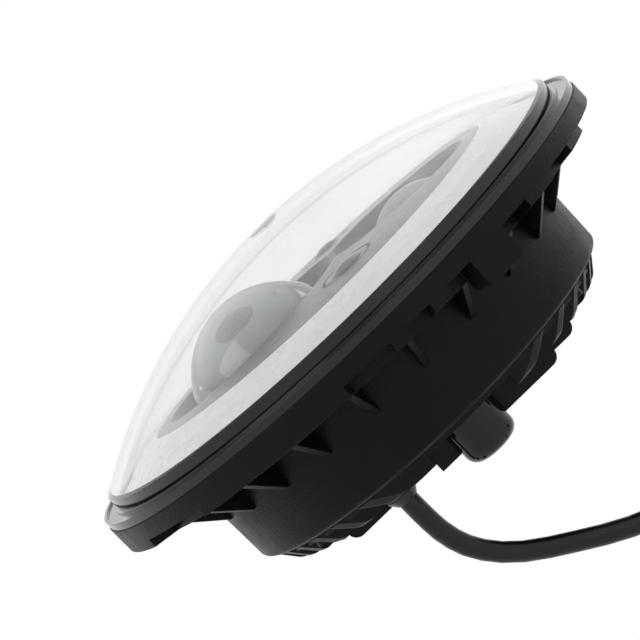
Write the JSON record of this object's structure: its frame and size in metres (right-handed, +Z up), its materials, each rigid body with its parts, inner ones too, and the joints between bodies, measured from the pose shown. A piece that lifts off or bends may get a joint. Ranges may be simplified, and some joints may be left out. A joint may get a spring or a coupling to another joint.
{
  "type": "led headlight",
  "caption": "Round motorbike LED headlight with a domed clear lens, halo ring, projector lenses, black lugged rim, finned heat sink and a short plug lead.",
  "frame": {"origin": "on the lamp's axis, in the plane of the rim's front face", "axes": "-Y is the way the lamp shines, +Z is up with the large lens above, +X is to the right seen from in front of the lamp"},
  "size_m": [0.178, 0.1438, 0.257],
  "materials": {
    "clear_lens": "clear polycarbonate, polished",
    "sealant": "cured silicone",
    "halo_white": "milky diffusing plastic",
    "tray_white": "white reflector plastic",
    "circuit_board": "white solder mask",
    "led": "phosphor over a white package",
    "bezel_grey": "dark grey, glossy",
    "lens_glass": "polished optical glass",
    "satin_metal": "satin",
    "reflector": "vacuum metallised",
    "shield_steel": "blackened",
    "carrier": "mill finish",
    "screw_steel": "zinc plated",
    "screw_black": "black zinc plated",
    "housing_black": "black, grained",
    "sink_black": "black, smooth satin",
    "gasket_rubber": "matte",
    "component_black": "matte",
    "cap_black": "glossy",
    "membrane": "porous film",
    "cord_black": "satin sheath",
    "nut_black": "satin",
    "plug_black": "satin",
    "blade_metal": "tinned"
  },
  "bodies": {
    "root": {"outer_lens": "clear_lens", "lens_seal": "sealant", "halo_light_guide": "halo_white", "halo_tray": "tray_white", "halo_led_board": "circuit_board", "halo_leds": "led", "inner_bezel": "bezel_grey", "upper_projector_lens": "lens_glass", "upper_lens_ring": "satin_metal", "upper_reflector_cup": "reflector", "cutoff_shield": "shield_steel", "upper_led_board": "circuit_board", "lower_projector_lens": "lens_glass", "lower_lens_ring": "satin_metal", "lower_reflector_cup": "reflector", "lower_led_board": "circuit_board", "led_chips": "led", "side_lenses": "lens_glass", "side_led_boards": "circuit_board", "carrier_plate": "carrier", "carrier_screws": "screw_steel", "rim_ring": "housing_black", "housing": "housing_black", "heat_sink_gasket": "gasket_rubber", "heat_sink": "sink_black", "heat_sink_screws": "screw_black", "driver_board": "circuit_board", "driver_components": "component_black", "vent_cap": "cap_black", "vent_membrane": "membrane", "cable_gland": "cord_black", "gland_nut": "nut_black", "cord": "cord_black", "plug_boot": "cord_black", "plug_body": "plug_black", "plug_blades": "blade_metal"}
  },
  "joints": []
}
